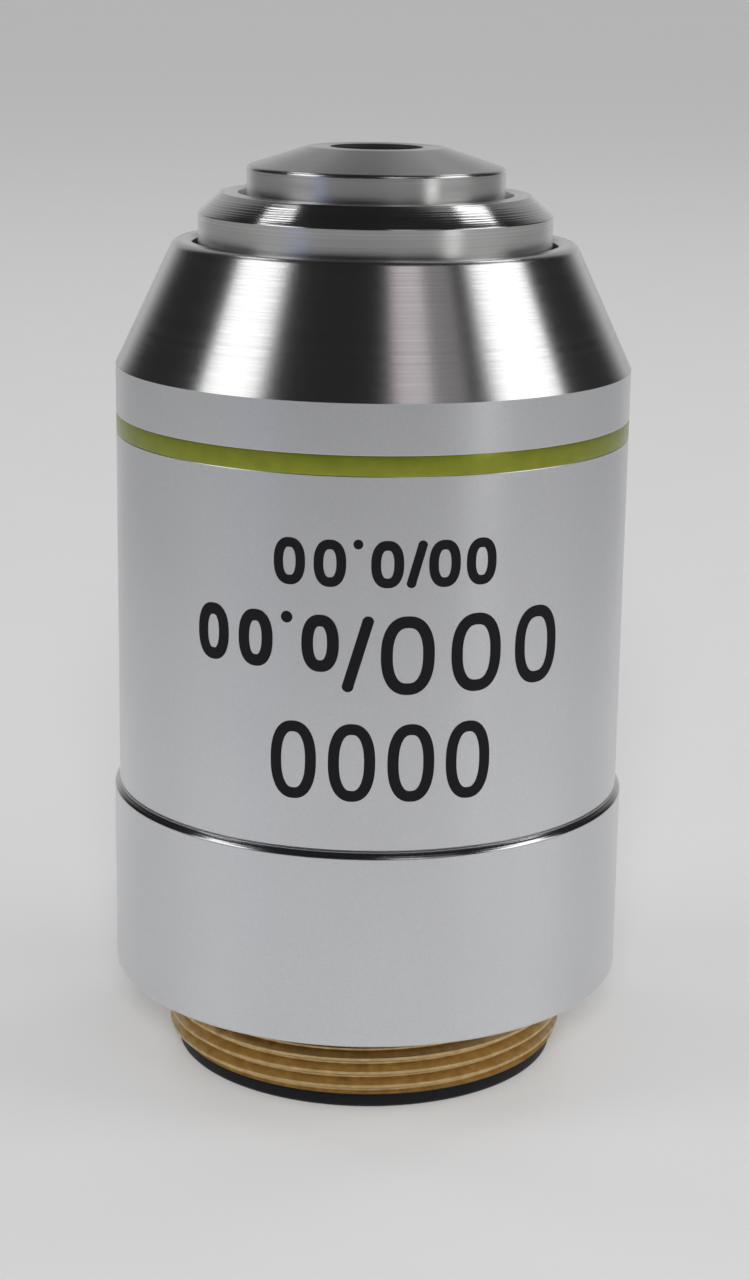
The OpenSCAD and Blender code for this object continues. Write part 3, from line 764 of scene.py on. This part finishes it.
def draw_sign(sign, middle, top, width, height, stroke):
    """One zero, slash or dot, drawn flat in the XZ plane."""
    bpy.ops.object.select_all(action="DESELECT")
    bpy.ops.mesh.primitive_circle_add(vertices=64, radius=stroke / 2, fill_type="NGON",
                                      rotation=(math.pi / 2, 0, 0))
    piece = bpy.context.active_object
    bpy.ops.object.transform_apply(rotation=True)
    if sign == "zero":
        for v in piece.data.vertices:
            turn_by = math.atan2(v.co.z, v.co.x)
            across, up = math.cos(turn_by), math.sin(turn_by)
            v.co.x = width / 2 * math.copysign(abs(across) ** (2 / ZERO_SQUARENESS), across)
            v.co.z = height / 2 * math.copysign(abs(up) ** (2 / ZERO_SQUARENESS), up)
        bpy.ops.object.mode_set(mode="EDIT")
        bpy.ops.mesh.select_all(action="SELECT")
        bpy.ops.mesh.inset(thickness=stroke, use_even_offset=True)
        bpy.ops.mesh.delete(type="FACE")
        bpy.ops.object.mode_set(mode="OBJECT")
    elif sign == "slash":
        lean, rise = (width - stroke) / 2, (height - stroke) / 2
        for v in piece.data.vertices:
            side = 1 if v.co.z > 0 else -1
            v.co.x += side * lean
            v.co.z += side * rise
    piece.location = (middle, 0, top - height / 2)
    bpy.ops.object.transform_apply(location=True)
    return piece


def make_marks(paint):
    """Draws the rows of marks flat, wraps them round the sleeve and gives them their thickness."""
    signs = []
    for row in (SMALL_ROW, LARGE_ROW, BOTTOM_ROW):
        for sign, middle, width, height in row["signs"]:
            signs.append(draw_sign(sign, middle, row["top"], width, height, row["stroke"]))
    bpy.ops.object.select_all(action="DESELECT")
    for piece in signs:
        piece.select_set(True)
    bpy.context.view_layer.objects.active = signs[0]
    bpy.ops.object.join()
    marks = bpy.context.active_object
    marks.name = marks.data.name = "engraved_marks"
    reach = SLEEVE_R + PAINT_PROUD
    for v in marks.data.vertices:
        angle = v.co.x / SLEEVE_R
        v.co = (reach * math.sin(angle), -reach * math.cos(angle), v.co.z)
    apply_modifier(marks, "SOLIDIFY", thickness=PAINT_THICKNESS, offset=-1)
    give(marks, paint)
    finish_piece(marks)
    return marks


# Stage
bpy.context.scene.view_settings.view_transform = "Standard"
place_camera()
set_world()
place_lamps()
lay_floor()

# Materials
chrome = satin_chrome()
bright = turned_chrome("turned_chrome_plate", "#D0D0D0", "#BBBBBC", 0.24, 0.002)
coarse = turned_chrome("coarse_turned_chrome", "#DADADA", "#A2A2A3", 0.15, 0.035, 0.2)
dull = turned_chrome("dull_turned_chrome", "#D6D6D5", "#BEBEBE", 0.3, 0.004)
pale = turned_chrome("pale_turned_chrome", "#E8E8E7", "#D0D0CF", 0.3, 0.004)
thread_brass = turned_brass("turned_brass", "#EBD2A0", "#AE8C54", 0.3)
# Brass darkened to paint the shade under the ring's overhang, put on the relief below the shoulder
relief_painted_shade_brass = turned_brass("brass_in_painted_shade", "#B59A6C", "#775A30", 0.4)
black = blackened("black_anodised_aluminium", "#141518", "#0A0B0C", 0.0, 0.42, 0.2)
cell_black = blackened("blackened_brass", "#26272A", "#17181A", 0.2, 0.5)
steel = turned_chrome("blued_steel", "#7B7D82", "#5C5E63", 0.35, 0.0025)
enamel = band_enamel()
crown = lens_glass("crown_glass", "#EAF0FF", 1.52)
flint = lens_glass("flint_glass", "#F4F2E8", 1.62)
# Black paint rubbed into the marks: duller than the anodised ring, and thin in places
paint = blackened("engraving_paint", "#15151A", "#0B0B0E", 0.0, 0.6, 0.22)

# Pieces that stand for their nodes
pieces = [
    (make_mount_body(chrome, thread_brass, relief_painted_shade_brass, coarse), "mount_body", "satin_chrome"),
    (make_stop_ring(black), "rear_stop_ring", "black_anodised"),
    (make_sleeve(chrome, bright), "outer_sleeve", "satin_chrome"),
    (make_band(enamel), "colour_band", "band_enamel"),
    (make_barrel(pale, coarse), "lens_barrel", "turned_chrome"),
    (make_front_cell(dull, cell_black, bright, pale), "front_cell", "turned_chrome"),
]
for piece, node, slot in pieces:
    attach(piece, "root")
    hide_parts(node)

marks = make_marks(paint)
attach(marks, "root")

# The other nodes keep their meshes, apart from the lenses
slot_material = {
    "satin_chrome": chrome, "turned_chrome": bright, "black_anodised": black, "band_enamel": enamel,
    "brass": thread_brass, "blackened_brass": cell_black, "steel": steel, "crown_glass": crown,
    "flint_glass": flint,
}
slot_of = {part["node"]: part["material_slot"] for part in frame["record"]["subparts"]}
for name, node in frame["nodes"].items():
    for holder in node.material_slots:
        holder.material = slot_material[slot_of[name]]
    if slot_of[name] in ("crown_glass", "flint_glass"):
        lens = polish(name, node, slot_material[slot_of[name]])
        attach(lens, "root")
        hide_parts(name)
